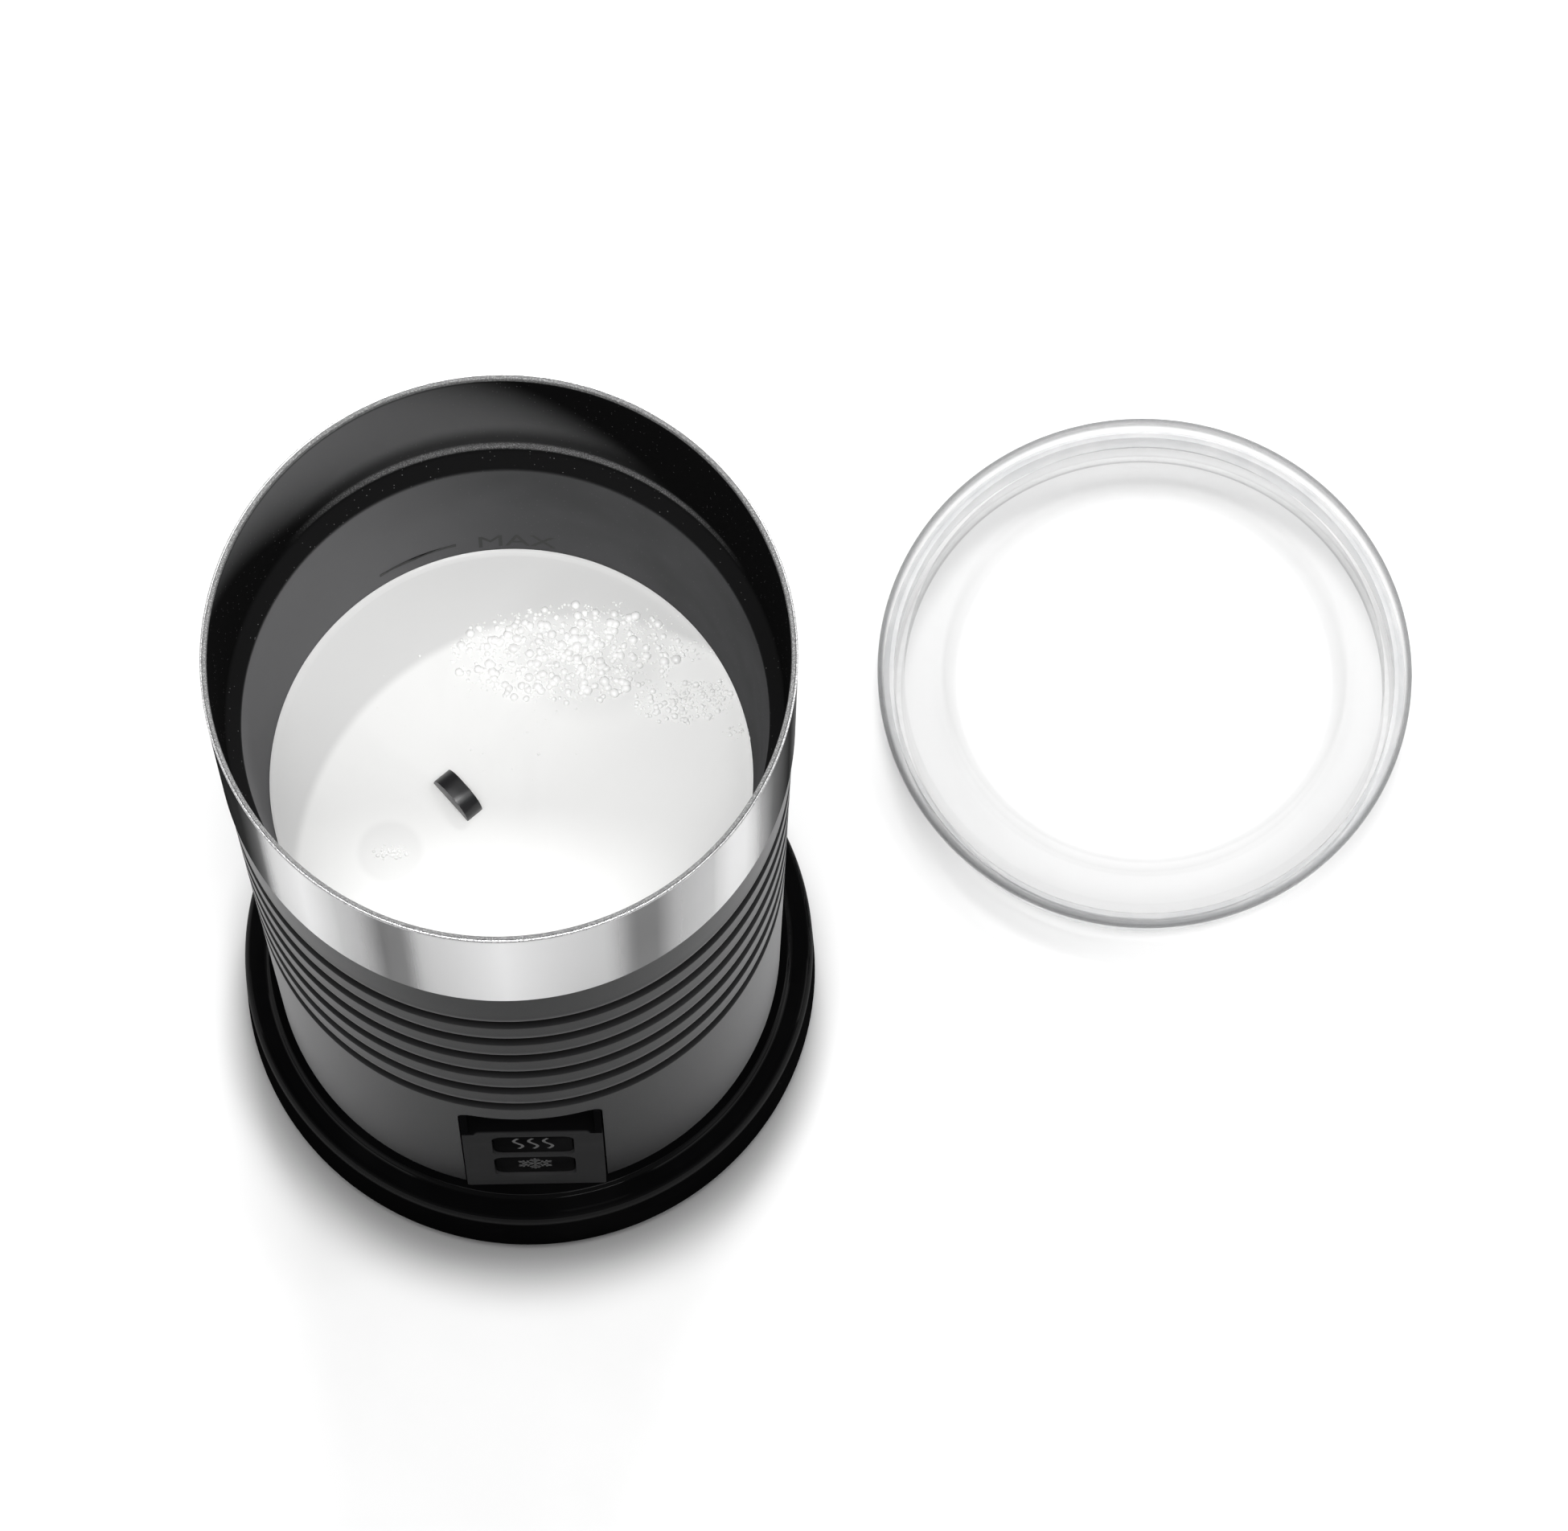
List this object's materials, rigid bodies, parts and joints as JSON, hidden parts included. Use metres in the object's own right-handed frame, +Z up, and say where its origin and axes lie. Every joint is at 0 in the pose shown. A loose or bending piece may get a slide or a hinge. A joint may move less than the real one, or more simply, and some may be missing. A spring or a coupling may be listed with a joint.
{
  "type": "milk frother",
  "caption": "Cordless electric milk frother: non-stick jug with a steel rim band and ribbed grip on a round power base, magnetic whisk, two buttons and a clear lid.",
  "frame": {"origin": "middle of the face that the base stands on, under the jug's axis", "axes": "+Z up along the jug's axis, -Y towards the front where the buttons are, +X to the user's right"},
  "size_m": [0.2106, 0.1512, 0.184],
  "materials": {
    "gloss_black": "high gloss moulded plastic",
    "satin_grey": "satin soft-touch moulded plastic",
    "black_plastic": "plain moulded plastic",
    "brushed_steel": "polished and finely brushed stainless steel",
    "nonstick": "speckled non-stick coating",
    "plain_steel": "bright zinc or stainless",
    "contact_brass": "bare",
    "rubber_black": "non-slip",
    "silicone": "translucent silicone",
    "clear_plastic": "clear moulded plastic",
    "aluminium": "bare pressed plate",
    "board_green": "printed circuit board",
    "magnet": "nickel plated magnet",
    "button_black": "gloss moulded button"
  },
  "bodies": {
    "base": {"base_shell": "gloss_black", "bottom_plate": "black_plastic", "foot_ring": "rubber_black", "base_screws": "plain_steel", "connector_post": "black_plastic", "base_contacts": "contact_brass", "cord_gland": "rubber_black", "terminal_block": "black_plastic"},
    "jug": {"grip_sleeve": "satin_grey", "steel_shell": "brushed_steel", "inner_pot": "nonstick", "whisk_pin": "plain_steel", "pot_gasket": "silicone", "bottom_cap": "black_plastic", "cap_screws": "plain_steel", "connector_socket": "black_plastic", "socket_contacts": "contact_brass", "inner_frame": "black_plastic", "heat_plate": "aluminium", "heating_element": "plain_steel", "thermostat": "plain_steel", "button_panel": "satin_grey", "tact_switches": "black_plastic", "control_board": "board_green", "power_board": "board_green", "motor_housing": "plain_steel", "motor_screws": "plain_steel", "shaft_bush": "contact_brass"},
    "drive": {"motor_shaft": "plain_steel", "magnet_carrier": "black_plastic", "drive_magnets": "magnet"},
    "whisk": {"whisk_stem": "black_plastic", "whisk_magnet": "magnet", "whisk_foot_cap": "black_plastic", "whisk_coil": "plain_steel"},
    "hot_button": {"hot_button": "button_black"},
    "cold_button": {"cold_button": "button_black"},
    "lid": {"lid_cover": "clear_plastic", "lid_seal": "silicone"}
  },
  "joints": [
    {"name": "jug_lift", "type": "slide", "parent": "base", "child": "jug", "axis": [0, 0, 1], "range_m": [0, 0.06]},
    {"name": "drive_spin", "type": "hinge", "parent": "jug", "child": "drive", "pos_m": [-0.009, -0.003, 0.06], "axis": [0, 0, 1], "continuous": true},
    {"name": "whisk_spin", "type": "hinge", "parent": "jug", "child": "whisk", "pos_m": [-0.009, -0.003, 0.07], "axis": [0, 0, 1], "continuous": true},
    {"name": "hot_button_press", "type": "slide", "parent": "jug", "child": "hot_button", "axis": [0, 1, 0], "range_m": [0, 0.001], "stiffness_N_per_m": 400},
    {"name": "cold_button_press", "type": "slide", "parent": "jug", "child": "cold_button", "axis": [0, 1, 0], "range_m": [0, 0.001], "stiffness_N_per_m": 400},
    {"name": "lid_lift", "type": "slide", "parent": "base", "child": "lid", "axis": [0, 0, 1], "range_m": [0, 0.2]}
  ],
  "couplings": [
    {"joint": "whisk_spin", "follows": "drive_spin", "ratio": 1}
  ]
}
